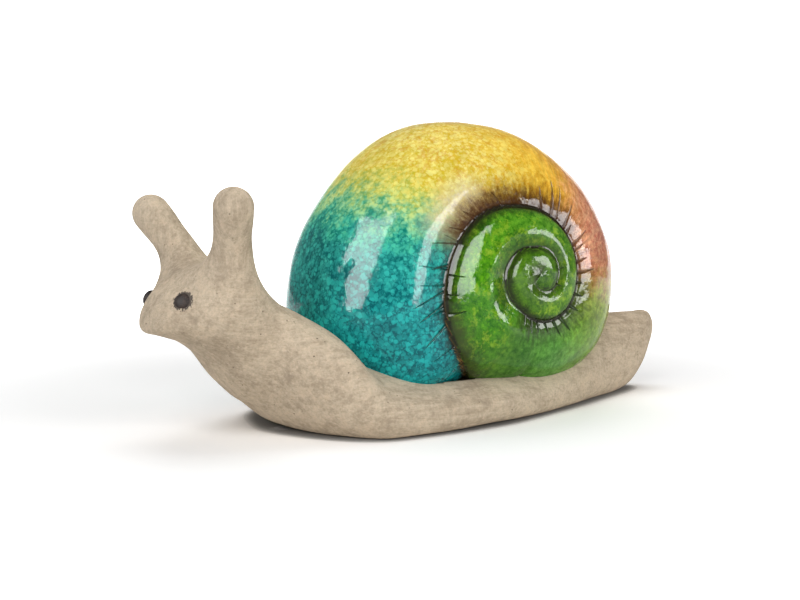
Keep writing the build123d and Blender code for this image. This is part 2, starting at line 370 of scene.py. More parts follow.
def axis_point(axis, t):
    """The point at a share of the way along the quadratic curve."""
    root, bend, tip = axis
    t = np.asarray(t)[..., None]
    return root * (1 - t) ** 2 + bend * 2 * t * (1 - t) + tip * t**2


def club_depth(points, axis):
    """How far points stand out of a club, taken as a string of spheres along its axis."""
    t = np.linspace(0, 1, club_spheres)
    centres = axis_point(axis, t)
    gaps = np.linalg.norm(points[..., None, :] - centres, axis=-1) - club_radius(t)
    return gaps.min(axis=-1)


tentacle_axes = {
    "left_tentacle": tentacle_axis(-1, 0, 0, 0),
    "right_tentacle": tentacle_axis(
        1, far_tentacle_extra_forward, far_tentacle_extra_spread, far_tentacle_drop
    ),
}


def softly_joined(first, second):
    """The smaller of two depths, rounded off where they are nearly equal."""
    share = np.clip(0.5 + 0.5 * (second - first) / blend_reach, 0, 1)
    return second + (first - second) * share - blend_reach * share * (1 - share)


def clay_depth(points):
    """How far points stand out of the head with both its tentacles."""
    near = club_depth(points, tentacle_axes["left_tentacle"])
    far = club_depth(points, tentacle_axes["right_tentacle"])
    return softly_joined(softly_joined(body_depth(points), near), far)


def nearest_club(points):
    """How far points stand out of the nearer of the two clubs."""
    return np.minimum(*[club_depth(points, axis) for axis in tentacle_axes.values()])


def drawn_to_clay(points, sink, steps):
    """Points moved down the slope of the clay's depth until they lie on its surface, less a sink."""
    for _ in range(steps):
        depth = clay_depth(points) + sink(points)
        slope = np.stack([
            (clay_depth(points + nudge) - clay_depth(points - nudge)) / (2 * surface_nudge)
            for nudge in surface_nudge * np.eye(3)
        ], axis=-1)
        steepness = np.maximum((slope**2).sum(axis=-1), least_steepness)
        step = np.clip(depth / steepness, -longest_step, longest_step)
        points = points - step[..., None] * slope
    return points


def grid_faces(rows, columns, strips):
    """Quads between the rows of a grid, by point number. It meets itself with a strip to each column."""
    row = np.arange(rows - 1)[:, None] * columns
    here = np.arange(strips)[None, :]
    beside = (here + 1) % columns
    corners = [row + here, row + beside, row + columns + beside, row + columns + here]
    return np.stack(corners, axis=-1).reshape(-1, 4)


def placed(name, data):
    """A new object in the scene's own collection."""
    new_object = bpy.data.objects.new(name, data)
    bpy.context.scene.collection.objects.link(new_object)
    return new_object


def mesh_object(name, points, faces):
    """A smooth-shaded mesh object from points in metres."""
    mesh = bpy.data.meshes.new(name)
    mesh.from_pydata(points.tolist(), [], faces)
    mesh.shade_smooth()
    mesh.update()
    return placed(name, mesh)


def closed_tube(name, rows_of_points, first_pole, last_pole):
    """A mesh object from rows of points in mm, closed at both ends to a pole, faces outwards."""
    rows, columns, _ = rows_of_points.shape
    points = np.concatenate([rows_of_points.reshape(-1, 3), [first_pole, last_pole]]) * MM
    quads = grid_faces(rows, columns, columns)
    here = np.arange(columns)
    beside = (here + 1) % columns
    last_row = (rows - 1) * columns
    start = np.stack([beside, here, np.full(columns, rows * columns)], axis=-1)
    end = np.stack([last_row + here, last_row + beside, np.full(columns, rows * columns + 1)], axis=-1)
    a, b, c, d = (points[quads[:, i]] for i in range(4))
    volume = np.einsum("ij,ij->", a, np.cross(b, c)) + np.einsum("ij,ij->", a, np.cross(c, d))
    faces = quads.tolist() + start.tolist() + end.tolist()
    if volume < 0:
        faces = [face[::-1] for face in faces]
    return mesh_object(name, points, faces)


def with_hole(piece, place_share, diameter, bottom, top):
    """The piece with a round upright hole cut through it between two heights."""
    turns = 2 * pi * np.arange(hole_sides) / hole_sides
    ring = np.stack([np.cos(turns), np.sin(turns), 0 * turns], axis=-1) * diameter / 2
    centre = np.array([place_share * body_length, 0, 0])
    low = centre + [0, 0, bottom]
    high = centre + [0, 0, top]
    cutter = closed_tube("cutter", np.stack([ring + low, ring + high]), low, high)
    cut = piece.modifiers.new("hole", "BOOLEAN")
    cut.operation = "DIFFERENCE"
    cut.solver = "EXACT"
    cut.object = cutter
    depsgraph = bpy.context.evaluated_depsgraph_get()
    finished = bpy.data.meshes.new_from_object(piece.evaluated_get(depsgraph))
    piece.modifiers.clear()
    rough = piece.data
    piece.data = finished
    finished.name = piece.name
    bpy.data.meshes.remove(rough)
    shape = cutter.data
    bpy.data.objects.remove(cutter)
    bpy.data.meshes.remove(shape)


def make_body():
    """The body's form, drawn up to the tentacles, pressed in under the shell and drilled with its vents."""
    points = body_form()
    reach = tentacle_place_share * body_length + head_reach
    rows = np.nonzero(points[:, 0, 0] < reach)[0]
    head = points[rows]
    away = nearest_club(head)
    beside = away < blend_reach + 1
    weight = np.clip((away[beside] + drawn_inside) / drawn_softness + 1, 0, 1)[:, None]
    start = head[beside]

    def sink(at):
        return seam_sink * np.maximum(seam_distance - nearest_club(at), 0) ** 2

    head[beside] = start + weight * (drawn_to_clay(start, sink, 6) - start)
    points[rows] = head
    points = pressed_into_seat(points)
    height = points[..., 2]
    points[..., 2] = (height + np.sqrt(height**2 + edge_softness**2)) / 2
    nose = points[0].mean(axis=0)
    tail = points[-1].mean(axis=0)
    piece = closed_tube("clay_body", points, nose, tail)
    with_hole(piece, sole_vent_place_share, sole_vent_diameter, -sole_thickness, sole_thickness + 1)
    with_hole(piece, neck_vent_place_share, neck_vent_diameter, -sole_thickness, neck_vent_depth)
    return piece


def make_tentacle(name):
    """Rings from the tip down the club, then a skirt that turns square to the head and sinks into it."""
    axis = tentacle_axes[name]
    root, bend, tip = axis
    foot_share = tentacle_root_depth / (tentacle_rise + tentacle_root_depth)
    foot = axis_point(axis, np.array(foot_share))
    nudges = 0.5 * np.eye(3)
    lift = unit(np.array([body_depth(foot + nudge) - body_depth(foot - nudge) for nudge in nudges]))
    turn = 2 * pi * np.arange(tentacle_sides) / tentacle_sides
    cap = np.linspace(0.04, 1, cap_rows + 1)[:-1] * pi / 2
    shaft = np.linspace(1, skirt_start, shaft_rows)
    skirt = np.linspace(0, 1, skirt_rows + 1)[1:]
    t = np.concatenate([np.ones(cap_rows), shaft, skirt_start + (foot_share - skirt_start) * skirt])
    centre = axis_point(axis, t)
    along = unit((bend - root) * (1 - t[:, None]) + (tip - bend) * t[:, None])
    turned = (skirt**2 * (3 - 2 * skirt))[:, None]
    along[-skirt_rows:] += turned * (lift - along[-skirt_rows:])
    along = unit(along)
    sideways = unit(np.cross([0, 1, 0], along))
    other = np.cross(along, sideways)
    radius = club_radius(t)
    radius[:cap_rows] = tentacle_tip_radius * np.sin(cap)
    centre[:cap_rows] += along[:cap_rows] * (tentacle_tip_radius * np.cos(cap))[:, None]
    radius[-skirt_rows:] += skirt_spread * skirt**skirt_power
    ring = np.cos(turn)[None, :, None] * sideways[:, None] + np.sin(turn)[None, :, None] * other[:, None]
    points = centre[:, None] + radius[:, None, None] * ring

    def sink(at):
        return seam_sink * np.maximum(club_depth(at, axis) - seam_distance, 0) ** 2

    points = drawn_to_clay(points, sink, 8)
    points += hand_wobble(points * tentacle_wobble_scale)[..., None] * ring * tentacle_wobble
    under = np.linspace(1, 0, closing_rows + 2)[1:-1, None, None]
    base = foot - base_depth * lift
    closing = base + (points[-1] - base) * under
    points = np.concatenate([points, closing])
    return closed_tube(name + "_club", points, points[0].mean(axis=0), base)


def body_skin(place_share, turn):
    """The point of the body's plain form at a place and an angle, in degrees."""
    middle, half, rise, drop, top, bottom = body_station(np.array(place_share * body_length))
    c = cos(radians(turn))
    s = sin(radians(turn))
    height, power = (rise, top) if s >= 0 else (drop, bottom)
    reach = power_length(c, s, power)
    return np.array([place_share * body_length, half * c / reach, middle + height * s / reach])


def eye_seat(side, rise_turn, proud):
    """Centre and three directions of an eye: level, upwards and outwards, square to the head."""
    turn = 90 - side * (90 - rise_turn)
    step = 1 / body_length
    along = body_skin(eye_place_share + step, turn) - body_skin(eye_place_share - step, turn)
    around = body_skin(eye_place_share, turn + 1) - body_skin(eye_place_share, turn - 1)
    outward = unit(np.cross(along, around))
    if outward @ [-1, side, 0] < 0:
        outward = -outward
    level = unit(np.cross([0, 0, 1], outward))
    centre = body_skin(eye_place_share, turn) + outward * (proud - eye_thickness / 2)
    return centre, level, np.cross(outward, level), outward


eye_seats = {
    "left_eye": eye_seat(-1, eye_turn, eye_proud),
    "right_eye": eye_seat(1, far_eye_turn, eye_proud + far_eye_extra_proud),
}


def make_eye(name):
    """An oval bead, flattened in front, whose edge waves a little."""
    centre, level, upward, outward = eye_seats[name]
    turn = 2 * pi * np.arange(eye_sides)[None, :] / eye_sides
    rise = np.linspace(0.03, 0.97, eye_rows)[:, None] * pi
    edge = 1 - eye_edge_wave * (1 + np.sin(3 * turn + 1) * np.cos(5 * turn)) * np.sin(rise)
    long_way = eye_length / 2 * np.sin(rise) * np.cos(turn) * edge
    high_way = eye_height / 2 * np.sin(rise) * np.sin(turn) * edge
    cosine = np.cos(rise) + 0 * turn
    thick_way = eye_thickness / 2 * np.sign(cosine) * np.abs(cosine) ** eye_front_power
    points = centre + long_way[..., None] * level + high_way[..., None] * upward
    points += thick_way[..., None] * outward
    return closed_tube(name + "_bead", points, points[0].mean(axis=0), points[-1].mean(axis=0))


def suture_radius(turn):
    """Distance from the shell's axis to the suture at a turn."""
    return shell_radius * smooth_curve(suture_turns, suture_radius_shares, turn)


def groove_depth(turn):
    """Depth of the suture at a turn, and none before its start or past its end."""
    known = (turn >= suture_turns[0]) & (turn <= suture_turns[-1])
    return np.where(known, suture_depth * smooth_curve(suture_turns, suture_depth_shares, turn), 0)


def coil_fields(out, angle):
    """The turn of the coil under each point, and its distances to the suture inside and outside it."""
    first = (suture_start_angle - angle) % 360
    turn = first + 720
    for laps in (2, 1, 0, -1):
        here = first + 360 * laps
        known = (here >= suture_turns[0]) & (here <= suture_turns[-1])
        turn = np.where(known & (suture_radius(here) <= out), here, turn)
    inner = out - suture_radius(turn)
    outer = np.where(turn - 360 >= suture_turns[0], suture_radius(turn - 360) - out, far_away)
    return turn, np.maximum(inner, 0), np.maximum(outer, 0)


def coil_relief(turn, inner, outer):
    """Dip beside the sutures: a long slope and a lip down to one, and a round shoulder up from it."""
    gap = inner + outer
    softened_inner = np.sqrt(inner**2 + relief_softness**2) - relief_softness
    slope = np.clip(1 - softened_inner / np.minimum(slope_width, slope_share * gap), 0, 1)
    lip = np.clip(1 - softened_inner / lip_width, 0, 1)
    fall = (1 - lip_share) * slope**2 * (3 - 2 * slope) + lip_share * lip**2
    softened_outer = np.sqrt(outer**2 + relief_softness**2) - relief_softness
    edge = np.clip(1 - softened_outer / np.minimum(edge_width, edge_gap_share * gap), 0, 1)
    crown = np.clip(1 - softened_outer / (crown_share * gap), 0, 1)
    shoulder = edge_share * (1 - np.sqrt(1 - edge**2)) + (1 - edge_share) * crown**2
    return groove_depth(turn) * fall + groove_depth(turn - 360) * shoulder


def softened(field):
    """Each point averaged twice with its neighbours, round the rows and along them."""
    for _ in range(2):
        field = (np.roll(field, 1, axis=1) + 2 * field + np.roll(field, -1, axis=1)) / 4
        edged = np.concatenate([field[:1], field, field[-1:]])
        field = (edged[:-2] + 2 * field + edged[2:]) / 4
    return field


def side_shares():
    """Shares of the way from pole to rim that are evenly spaced along the shell's side."""
    t = np.linspace(0, pi / 2, 4000)
    fullness = shell_outline_fullness[3]
    share = np.clip(np.sin(t) / power_length(np.sin(t), np.cos(t), fullness), 0, 1)
    across = shell_half_width(share, 0, fullness)
    walk = np.concatenate([[0], np.cumsum(np.hypot(np.diff(share * shell_radius), np.diff(across)))])
    steps = np.linspace(0, walk[-1], shell_rows_a_side + 1)[1:-1]
    return np.interp(steps, walk, share)


def make_shell():
    """Both sides of the coiled shell, from pole over rim to pole, with the coil's relief pressed in."""
    share = side_shares()
    share = np.concatenate([share, [1], share[::-1]])[:, None]
    side = np.concatenate([-np.ones(shell_rows_a_side), np.ones(shell_rows_a_side - 1)])[:, None]
    angle = -90 + 360 * np.arange(shell_columns)[None, :] / shell_columns
    radius, widening, fullness = shell_outline(angle)
    out = radius * share
    across = shell_half_width(share, widening, fullness)
    turn, inner, outer = coil_fields(out, angle)
    half = shell_width / 2 * (1 + widening * share)
    lean_out = out / radius**2
    lean_across = across / half**2
    lean = np.hypot(lean_out, lean_across)
    flat = np.stack([out * np.cos(np.radians(angle)), across * side, out * np.sin(np.radians(angle))], -1)
    dip = softened(coil_relief(turn, inner, outer)) - shell_wobble * hand_wobble(flat * shell_wobble_scale)
    pressed_out = out - dip * lean_out / lean
    pressed_across = across - dip * lean_across / lean
    points = np.stack([
        shell_x + pressed_out * np.cos(np.radians(angle)),
        side * pressed_across,
        np.maximum(shell_z + pressed_out * np.sin(np.radians(angle)), sole_thickness),
    ], axis=-1)
    piece = closed_tube("coiled_shell", points, points[0].mean(axis=0), points[-1].mean(axis=0))
    gap = inner + outer
    seam = np.minimum(inner, outer) + seam_narrowing * np.maximum(seam_narrow_gap - gap, 0)
    stretch = np.maximum(narrow_coil / gap, 1)
    fields = {
        "turn": turn,
        "inner": inner * stretch,
        "outer": np.minimum(outer * stretch, far_away),
        "seam": seam,
        "reach": out + 0 * angle,
    }
    for name, values in fields.items():
        ends = [values[0].mean(), values[-1].mean()]
        field = piece.data.attributes.new(name, "FLOAT", "POINT")
        field.data.foreach_set("value", np.concatenate([values.ravel(), ends]).astype(np.float32))
    with_hole(piece, sole_vent_place_share, filler_hole_diameter, 0, filler_hole_depth)
    return piece


def paint(red, green, blue):
    """A colour as it looks on screen, 0 to 255, turned into the renderer's linear values."""
    screen = np.array([red, green, blue]) / 255
    linear = np.where(screen <= 0.04045, screen / 12.92, ((screen + 0.055) / 1.055) ** 2.4)
    return (*linear.tolist(), 1.0)


class Bench:
    """Places nodes in a tree. What a node takes in is a number, a colour or another node's socket."""

    def __init__(self, tree):
        self.tree = tree

    def feed(self, socket, value):
        if isinstance(value, bpy.types.NodeSocket):
            self.tree.links.new(value, socket)
        else:
            socket.default_value = value

    def add(self, kind, inputs=None, **settings):
        node = self.tree.nodes.new(kind)
        for name, value in settings.items():
            setattr(node, name, value)
        for key, value in (inputs or {}).items():
            self.feed(node.inputs[key], value)
        return node

    def maths(self, operation, *values):
        node = self.add("ShaderNodeMath", dict(enumerate(values)), operation=operation)
        return node.outputs[0]

    def vectors(self, operation, first, second):
        inputs = {0: first, 3 if operation == "SCALE" else 1: second}
        return self.add("ShaderNodeVectorMath", inputs, operation=operation).outputs

    def total(self, first, *rest):
        for value in rest:
            first = self.maths("ADD", first, value)
        return first

    def product(self, first, *rest):
        for value in rest:
            first = self.maths("MULTIPLY", first, value)
        return first

    def weighted(self, *parts):
        """The sum of values, each times its weight."""
        return self.total(*[self.product(*part) for part in parts])

    def span(self, value, low, high, start=0.0, end=1.0):
        """A smooth change from start to end as the value goes from low to high."""
        inputs = {"Value": value, "From Min": low, "From Max": high, "To Min": start, "To Max": end}
        return self.add("ShaderNodeMapRange", inputs, interpolation_type="SMOOTHSTEP").outputs[0]

    def mix(self, factor, first, second):
        node = self.add("ShaderNodeMix", {0: factor, 6: first, 7: second}, data_type="RGBA")
        return node.outputs[2]

    def shade(self, colour, amount):
        """The colour times a grey amount, which may be above one."""
        grey = self.add("ShaderNodeCombineXYZ", {0: amount, 1: amount, 2: amount}).outputs[0]
        return self.vectors("MULTIPLY", colour, grey)[0]

    def stretched(self, vector, x, y, z):
        node = self.add("ShaderNodeMapping", {"Vector": vector, "Scale": (x, y, z)})
        return node.outputs[0]

    def noise(self, vector, scale, detail, roughness=0.5):
        inputs = {"Vector": vector, "Scale": scale, "Detail": detail, "Roughness": roughness}
        return self.add("ShaderNodeTexNoise", inputs).outputs

    def cells(self, vector, scale):
        return self.add("ShaderNodeTexVoronoi", {"Vector": vector, "Scale": scale}).outputs

    def chances(self, colour):
        """Three numbers from zero to one, out of a cell's random colour."""
        return self.add("ShaderNodeSeparateColor", {0: colour}).outputs

    def clamp(self, value):
        return self.maths("MINIMUM", self.maths("MAXIMUM", value, 0.0), 1.0)

    def group(self, tree, **inputs):
        node = self.add("ShaderNodeGroup", node_tree=tree)
        for name, value in inputs.items():
            self.feed(node.inputs[name.capitalize()], value)
        return node.outputs


def new_group(name, inputs, outputs):
    """An empty node group with named sockets; returns its tree, bench, inlet and outlet."""
    tree = bpy.data.node_groups.new(name, "ShaderNodeTree")
    for label, kind in inputs.items():
        tree.interface.new_socket(label, in_out="INPUT", socket_type=kind)
    for label, kind in outputs.items():
        tree.interface.new_socket(label, in_out="OUTPUT", socket_type=kind)
    bench = Bench(tree)
    return tree, bench, bench.add("NodeGroupInput"), bench.add("NodeGroupOutput")


def mottle_group():
    """Cloudy variation from zero to one at two scales, the second a quarter of the first."""
    tree, bench, inlet, outlet = new_group(
        "mottle",
        {"Place": "NodeSocketVector", "Size": "NodeSocketFloat", "Contrast": "NodeSocketFloat"},
        {"Value": "NodeSocketFloat"},
    )
    place, size, contrast = inlet.outputs[:3]
    broad = bench.noise(place, bench.maths("DIVIDE", 1.0, size), 3.0, 0.55)["Fac"]
    small = bench.noise(place, bench.maths("DIVIDE", 4.0, size), 2.0, 0.6)["Fac"]
    both = bench.total(bench.product(broad, 0.7), bench.product(small, 0.3), -0.5)
    bench.feed(outlet.inputs[0], bench.clamp(bench.total(bench.product(both, contrast), 0.5)))
    return tree


def stroke_group():
    """Lines cut across a coil: one to a step of turn, each with its own length, lean and shift."""
    names = ["Turn", "Distance", "Reach", "Step", "Lean", "Width", "Longest"]
    tree, bench, inlet, outlet = new_group(
        "strokes", {name: "NodeSocketFloat" for name in names}, {"Mask": "NodeSocketFloat"}
    )
    turn, distance, reach, step, lean, width, longest = inlet.outputs[: len(names)]
    leaning = bench.total(turn, bench.product(distance, lean))
    steps = bench.maths("DIVIDE", leaning, step)
    number = bench.maths("FLOOR", steps)
    chance = bench.add("ShaderNodeTexWhiteNoise", {"W": number}, noise_dimensions="1D")
    parts = bench.chances(chance.outputs["Color"])
    shift = bench.span(parts[0], 0, 1, 0.28, 0.72)
    offset = bench.maths("ABSOLUTE", bench.maths("SUBTRACT", bench.maths("FRACT", steps), shift))
    across = bench.product(offset, step, reach, pi / 180)
    length = bench.product(longest, bench.span(parts[1], 0, 1, 0.35, 1.0))
    taper = bench.maths("SUBTRACT", 1.0, bench.maths("DIVIDE", distance, length))
    ending = bench.maths("POWER", bench.maths("MAXIMUM", taper, 0.0), 0.5)
    half = bench.product(width, ending, bench.span(parts[2], 0, 1, 0.22, 0.55))
    line = bench.maths("SUBTRACT", 1.0, bench.maths("DIVIDE", across, bench.maths("MAXIMUM", half, 0.02)))
    drawn = bench.maths("GREATER_THAN", taper, 0.0)
    kept = bench.maths("GREATER_THAN", parts[2], 0.15)
    bench.feed(outlet.inputs[0], bench.product(bench.clamp(line), drawn, kept))
    return tree


mottle = mottle_group()
strokes = stroke_group()


def mottled(bench, place, size, contrast):
    """Cloudy variation whose broad patches are of a size in millimetres."""
    return bench.group(mottle, place=place, size=size, contrast=contrast)[0]


def new_material(name):
    """An empty material, the bench for its tree, and the place on the object in millimetres."""
    material = bpy.data.materials.new(name)
    material.use_nodes = True
    material.node_tree.nodes.clear()
    bench = Bench(material.node_tree)
    place = bench.add("ShaderNodeTexCoord").outputs["Object"]
    return material, bench, bench.vectors("SCALE", place, 1 / MM)[0]


def finish_material(bench, height, colour, roughness, others):
    """A Principled surface with the height, in millimetres, as its bump."""
    bump = bench.add("ShaderNodeBump", {"Strength": 1.0, "Distance": MM, "Height": height}).outputs[0]
    inputs = {"Base Color": colour, "Roughness": roughness, "Normal": bump, **others}
    surface = bench.add("ShaderNodeBsdfPrincipled", inputs)
    bench.add("ShaderNodeOutputMaterial", {"Surface": surface.outputs[0]})


def eye_fringe(bench, place, seat):
    """Stain dragged a little past the edge of an eye, more below it than above."""
    centre, *directions = seat
    from_eye = bench.vectors("SUBTRACT", place, tuple(centre))[0]
    sideways, upwards, outwards = [
        bench.vectors("DOT_PRODUCT", from_eye, tuple(way))["Value"] for way in directions
    ]
    wide = bench.maths("DIVIDE", sideways, eye_length / 2)
    high = bench.maths("DIVIDE", upwards, eye_height / 2)
    distance = bench.maths("SQRT", bench.total(bench.product(wide, wide), bench.product(high, high)))
    bristles = bench.noise(bench.stretched(place, 1.0, 1.0, 0.35), 1 / 0.55, 2.0)["Fac"]
    drag = bench.span(upwards, -3.5, 1.5, 0.38, 0.20)
    edge = bench.maths("SUBTRACT", distance, bench.product(bench.span(bristles, 0.35, 0.65), drag))
    front = bench.maths("GREATER_THAN", outwards, -4.0)
    return bench.product(bench.span(edge, 0.88, 1.0, 1.0, 0.0), front)


def clay_material():
    """Bare fired clay: warm grey, cloudy, brushed along the body, with pin holes and fine grain."""
    material, bench, place = new_material("bisque clay")
    clouds = mottled(bench, place, 30.0, 2.2)
    blotches = mottled(bench, place, 6.5, 2.4)
    grain = mottled(bench, place, 0.9, 2.6)
    along, upright = [
        mottled(bench, bench.stretched(place, *scale), 1.6, 2.6)
        for scale in ((0.10, 0.8, 0.8), (0.8, 0.8, 0.13))
    ]
    level = bench.add("ShaderNodeSeparateXYZ", {0: place}).outputs[2]
    on_tentacle = bench.span(level, 58, 66)
    off_tentacle = bench.maths("SUBTRACT", 1.0, on_tentacle)
    brushed = bench.weighted((upright, on_tentacle), (along, off_tentacle))
    tone = bench.weighted((clouds, 0.34), (blotches, 0.33), (brushed, 0.33))
    colour = bench.mix(bench.span(tone, 0.28, 0.72), paint(176, 157, 132), paint(209, 191, 165))
    colour = bench.mix(bench.span(blotches, 0.55, 0.9, 0, 0.35), colour, paint(201, 178, 150))
    smudged = bench.product(bench.span(blotches, 0.05, 0.4, 1, 0), bench.span(clouds, 0.3, 0.6, 0.34, 0.04))
    colour = bench.mix(smudged, colour, paint(142, 128, 110))
    colour = bench.shade(colour, bench.span(grain, 0, 1, 0.88, 1.10))
    dots = bench.cells(place, 1 / 2.7)
    chosen = bench.chances(dots["Color"])
    size = bench.span(chosen[1], 0, 1, 0.03, 0.11)
    hole = bench.span(bench.maths("SUBTRACT", dots["Distance"], size), -0.02, 0.03, 1, 0)
    hole = bench.product(hole, bench.maths("GREATER_THAN", chosen[0], 0.55))
    pricks = bench.cells(place, 1 / 1.25)
    picked = bench.chances(pricks["Color"])
    prick = bench.span(pricks["Distance"], 0.08, 0.17, 1, 0)
    prick = bench.product(prick, bench.maths("GREATER_THAN", picked[0], 0.5))
    colour = bench.mix(bench.product(hole, 0.8), colour, paint(96, 78, 62))
    colour = bench.mix(bench.product(prick, 0.4), colour, paint(126, 108, 88))
    for seat in eye_seats.values():
        colour = bench.mix(bench.product(eye_fringe(bench, place, seat), 0.9), colour, paint(50, 38, 32))
    height = bench.weighted((grain, 0.10), (blotches, 0.16), (brushed, 0.13), (hole, -0.28), (prick, -0.12))
    roughness = bench.span(blotches, 0, 1, 0.84, 0.94)
    finish_material(bench, height, colour, roughness, {"Specular IOR Level": 0.3})
    return material


# Glaze colours round the coil: the turn in degrees at which each is at its purest, the colour
# of the net between the crackle's cells, and the colour of the cells.
glaze_bands = [
    (-90, (0, 76, 86), (8, 146, 150)),
    (0, (0, 88, 96), (22, 166, 168)),
    (40, (0, 98, 106), (36, 182, 178)),
    (62, (0, 108, 106), (60, 192, 176)),
    (69, (8, 138, 118), (80, 204, 166)),
    (76, (90, 178, 118), (164, 222, 160)),
    (82, (178, 192, 78), (220, 228, 130)),
    (90, (220, 194, 48), (244, 232, 124)),
    (110, (228, 194, 52), (250, 236, 142)),
    (130, (230, 186, 40), (248, 226, 112)),
    (150, (230, 172, 30), (250, 212, 78)),
    (165, (226, 162, 30), (250, 202, 72)),
    (178, (220, 144, 68), (248, 192, 116)),
    (190, (208, 124, 86), (244, 186, 134)),
    (212, (194, 110, 88), (238, 180, 138)),
    (230, (180, 102, 74), (222, 162, 118)),
    (240, (148, 108, 48), (196, 160, 92)),
    (252, (108, 130, 20), (168, 184, 64)),
    (275, (78, 126, 14), (130, 174, 52)),
    (300, (60, 126, 28), (112, 180, 72)),
    (335, (44, 102, 16), (92, 154, 50)),
    (352, (42, 94, 12), (92, 146, 42)),
    (372, (26, 96, 0), (84, 158, 20)),
    (420, (34, 110, 0), (104, 176, 24)),
    (470, (40, 112, 4), (110, 176, 40)),
    (530, (46, 104, 12), (106, 164, 50)),
    (590, (44, 92, 12), (96, 144, 44)),
    (650, (50, 100, 8), (102, 156, 32)),
    (720, (50, 96, 8), (98, 146, 30)),
]
first_turn = -90
last_turn = 720


def band_ramp(bench, turn, pick):
    """The net's colours (pick 1) or the cells' (pick 2) along the turn, each at its own place."""
    share = bench.add("ShaderNodeMapRange", {
        "Value": turn, "From Min": first_turn, "From Max": last_turn,
    }).outputs[0]
    ramp = bench.add("ShaderNodeValToRGB", {"Fac": share})
    stops = ramp.color_ramp.elements
    while len(stops) < len(glaze_bands):
        stops.new(1.0)
    for stop, band in zip(stops, glaze_bands):
        stop.position = (band[0] - first_turn) / (last_turn - first_turn)
        stop.color = paint(*band[pick])
    return ramp.outputs["Color"]


def between(bench, turn, start, end, softness):
    """One between two turns, and none outside them."""
    rise = bench.span(turn, start - softness, start + softness)
    fall = bench.span(turn, end - softness, end + softness, 1.0, 0.0)
    return bench.product(rise, fall)


def crackle_group():
    """Round cells of uneven size and strength from zero to one, in a net that stays at zero."""
    tree, bench, inlet, outlet = new_group(
        "crackle", {"Place": "NodeSocketVector", "Size": "NodeSocketFloat"}, {"Cell": "NodeSocketFloat"}
    )
    place, size = inlet.outputs[:2]
    scale = bench.maths("DIVIDE", 1.0, size)
    push = bench.vectors("SCALE", bench.noise(place, scale, 2.0)["Color"], 1.6)[0]
    cells = bench.cells(bench.vectors("ADD", place, push)[0], scale)
    chance = bench.chances(cells["Color"])
    radius = bench.span(chance[0], 0, 1, 0.42, 0.80)
    inside = bench.maths("SUBTRACT", radius, cells["Distance"])
    strength = bench.span(chance[1], 0, 1, 0.35, 1.0)
    bench.feed(outlet.inputs[0], bench.product(bench.span(inside, -0.05, 0.27), strength))
    return tree


crackle = crackle_group()


